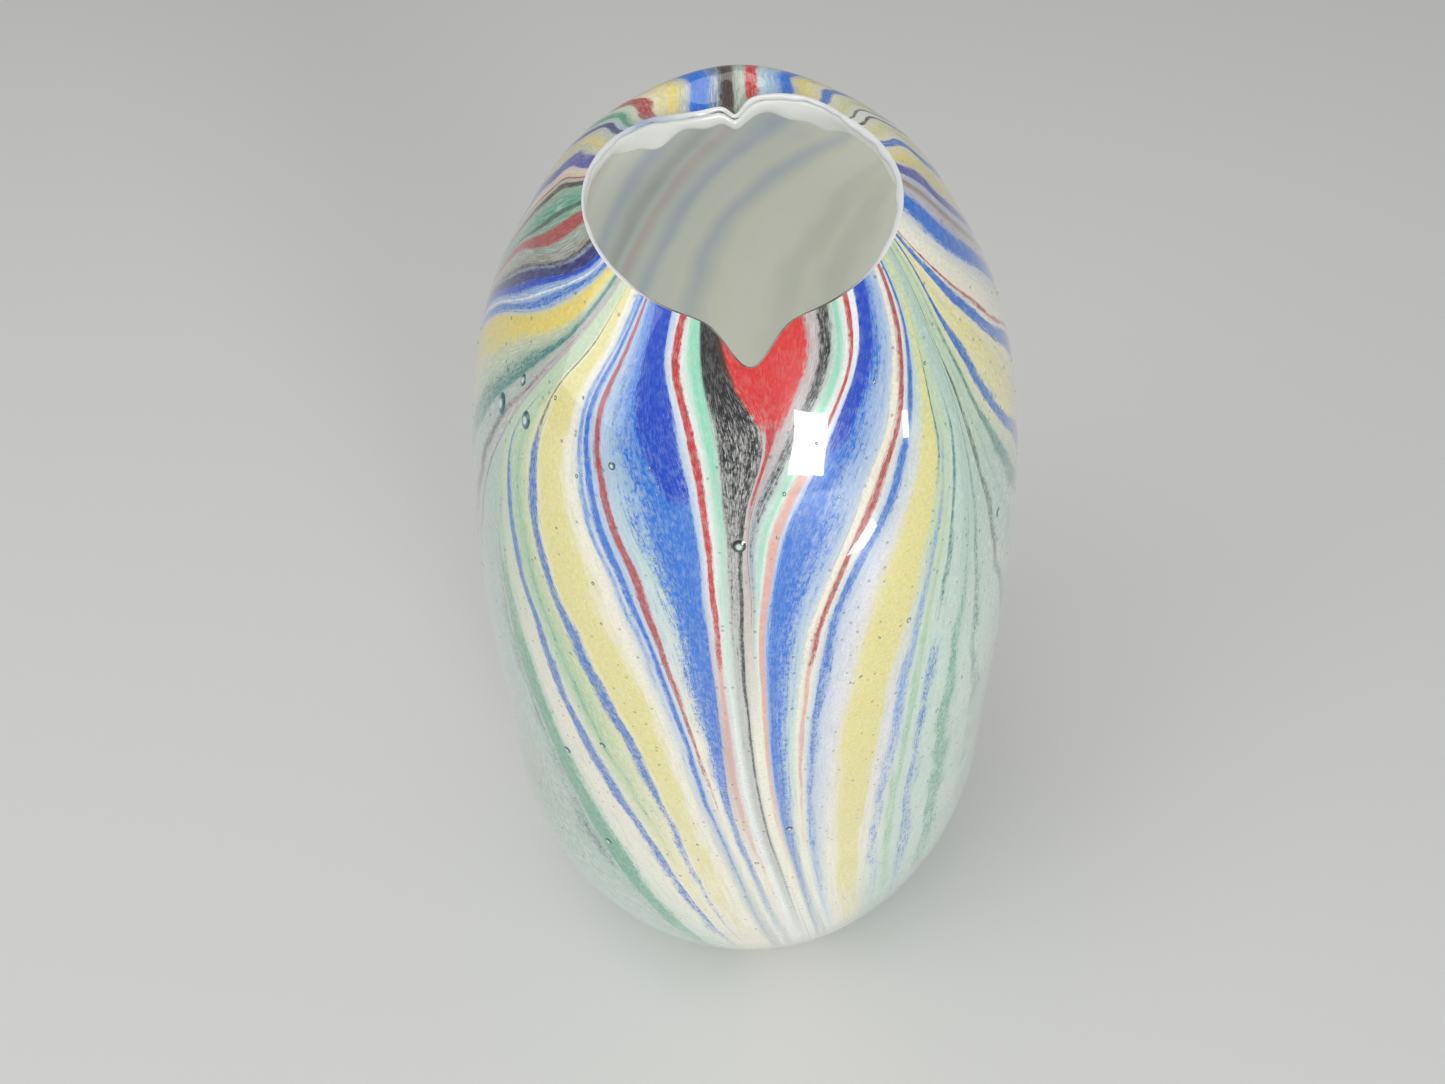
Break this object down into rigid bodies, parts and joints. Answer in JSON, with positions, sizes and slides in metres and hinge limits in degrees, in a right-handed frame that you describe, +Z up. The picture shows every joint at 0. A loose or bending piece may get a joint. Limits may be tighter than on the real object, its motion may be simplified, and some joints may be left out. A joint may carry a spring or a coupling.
{
  "type": "blown glass vase",
  "caption": "Tall rounded blown glass vase with an off-centre mouth notched into a heart, feathered coloured ribbons between an opal lining and a clear casing.",
  "frame": {"origin": "middle of the flat ground foot, on the surface that the vase stands on", "axes": "+Z up along the body's axis; the notch in the lip faces -Y; +X to the right as seen from in front"},
  "size_m": [0.1488, 0.1488, 0.2707],
  "materials": {
    "opal_glass": "opaque white opal glass, glossy",
    "clear_glass": "clear glass, fire polished",
    "cobalt_glass": "cobalt soda glass with fine frit and seed bubbles, fused",
    "navy_glass": "navy soda glass with fine frit and seed bubbles, fused",
    "blue_glass": "blue soda glass with fine frit and seed bubbles, fused",
    "violet_glass": "violet soda glass with fine frit and seed bubbles, fused",
    "teal_glass": "teal soda glass with fine frit and seed bubbles, fused",
    "mint_glass": "mint soda glass with fine frit and seed bubbles, fused",
    "green_glass": "green soda glass with fine frit and seed bubbles, fused",
    "yellow_glass": "yellow soda glass with fine frit and seed bubbles, fused",
    "amber_glass": "amber soda glass with fine frit and seed bubbles, fused",
    "cream_glass": "cream soda glass with fine frit and seed bubbles, fused",
    "red_glass": "red soda glass with fine frit and seed bubbles, fused",
    "russet_glass": "russet soda glass with fine frit and seed bubbles, fused",
    "black_glass": "black soda glass with fine frit and seed bubbles, fused",
    "grey_glass": "grey soda glass with fine frit and seed bubbles, fused",
    "olive_glass": "olive soda glass with fine frit and seed bubbles, fused"
  },
  "bodies": {
    "root": {"clear_casing": "clear_glass", "opal_lining": "opal_glass", "olive_back_ribbon": "olive_glass", "blue_back_left_ribbon": "blue_glass", "yellow_back_left_ribbon": "yellow_glass", "russet_back_left_ribbon": "russet_glass", "green_back_left_ribbon": "green_glass", "amber_left_ribbon": "amber_glass", "violet_left_ribbon": "violet_glass", "green_left_ribbon": "green_glass", "red_left_ribbon": "red_glass", "navy_left_ribbon": "navy_glass", "yellow_left_ribbon": "yellow_glass", "teal_left_ribbon": "teal_glass", "mint_left_ribbon": "mint_glass", "yellow_front_left_ribbon": "yellow_glass", "cream_front_left_ribbon": "cream_glass", "cobalt_front_left_ribbon": "cobalt_glass", "mint_front_left_ribbon": "mint_glass", "black_spine_ribbon": "black_glass", "red_heart_ribbon": "red_glass", "mint_front_right_ribbon": "mint_glass", "cobalt_front_right_ribbon": "cobalt_glass", "cream_front_right_ribbon": "cream_glass", "yellow_front_right_ribbon": "yellow_glass", "mint_right_ribbon": "mint_glass", "teal_right_ribbon": "teal_glass", "blue_right_ribbon": "blue_glass", "navy_right_ribbon": "navy_glass", "violet_right_ribbon": "violet_glass", "yellow_right_ribbon": "yellow_glass", "grey_back_right_ribbon": "grey_glass", "blue_back_right_ribbon": "blue_glass", "yellow_back_right_ribbon": "yellow_glass", "red_back_ribbon": "red_glass"}
  },
  "joints": []
}
